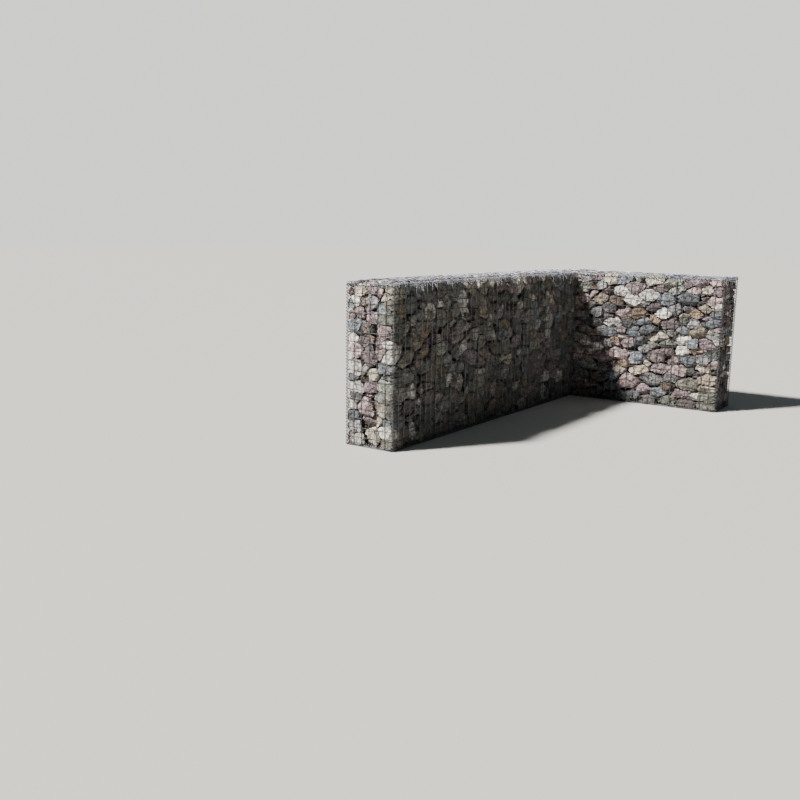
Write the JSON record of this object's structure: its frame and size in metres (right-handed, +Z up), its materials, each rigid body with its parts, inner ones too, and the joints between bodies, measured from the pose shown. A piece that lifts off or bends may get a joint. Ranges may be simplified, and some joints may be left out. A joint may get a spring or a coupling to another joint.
{
  "type": "gabion wall",
  "caption": "L-shaped garden gabion wall: bays of welded wire mesh packed with broken stone, with wire lids and laced corners.",
  "frame": {"origin": "on the ground, under the middle of the wall's outline", "axes": "+X along the long run from its free end to the corner, the return runs toward -Y, +Z up"},
  "size_m": [3.7338, 1.9812, 1.2954],
  "materials": {
    "zinc_wire": "galvanised, dulled by weather",
    "broken_stone": "rough quarry stone, mixed grey, buff and pink"
  },
  "bodies": {
    "root": {"corner_bay_back_mesh": "zinc_wire", "corner_bay_base": "zinc_wire", "corner_bay_lid": "zinc_wire", "corner_bay_side_mesh": "zinc_wire", "corner_bay_stone_fill": "broken_stone", "corner_divider": "zinc_wire", "first_divider": "zinc_wire", "fourth_bay_back_mesh": "zinc_wire", "fourth_bay_base": "zinc_wire", "fourth_bay_front_mesh": "zinc_wire", "fourth_bay_lid": "zinc_wire", "fourth_bay_stone_fill": "broken_stone", "near_bay_back_mesh": "zinc_wire", "near_bay_base": "zinc_wire", "near_bay_front_mesh": "zinc_wire", "near_bay_lid": "zinc_wire", "near_bay_stone_fill": "broken_stone", "near_end_mesh": "zinc_wire", "return_bay_back_mesh": "zinc_wire", "return_bay_base": "zinc_wire", "return_bay_front_mesh": "zinc_wire", "return_bay_lid": "zinc_wire", "return_bay_stone_fill": "broken_stone", "return_divider": "zinc_wire", "return_end_bay_back_mesh": "zinc_wire", "return_end_bay_base": "zinc_wire", "return_end_bay_front_mesh": "zinc_wire", "return_end_bay_lid": "zinc_wire", "return_end_bay_stone_fill": "broken_stone", "return_end_divider": "zinc_wire", "return_end_mesh": "zinc_wire", "second_bay_back_mesh": "zinc_wire", "second_bay_base": "zinc_wire", "second_bay_front_mesh": "zinc_wire", "second_bay_lid": "zinc_wire", "second_bay_stone_fill": "broken_stone", "second_divider": "zinc_wire", "third_bay_back_mesh": "zinc_wire", "third_bay_base": "zinc_wire", "third_bay_front_mesh": "zinc_wire", "third_bay_lid": "zinc_wire", "third_bay_stone_fill": "broken_stone", "third_divider": "zinc_wire"}
  },
  "joints": []
}
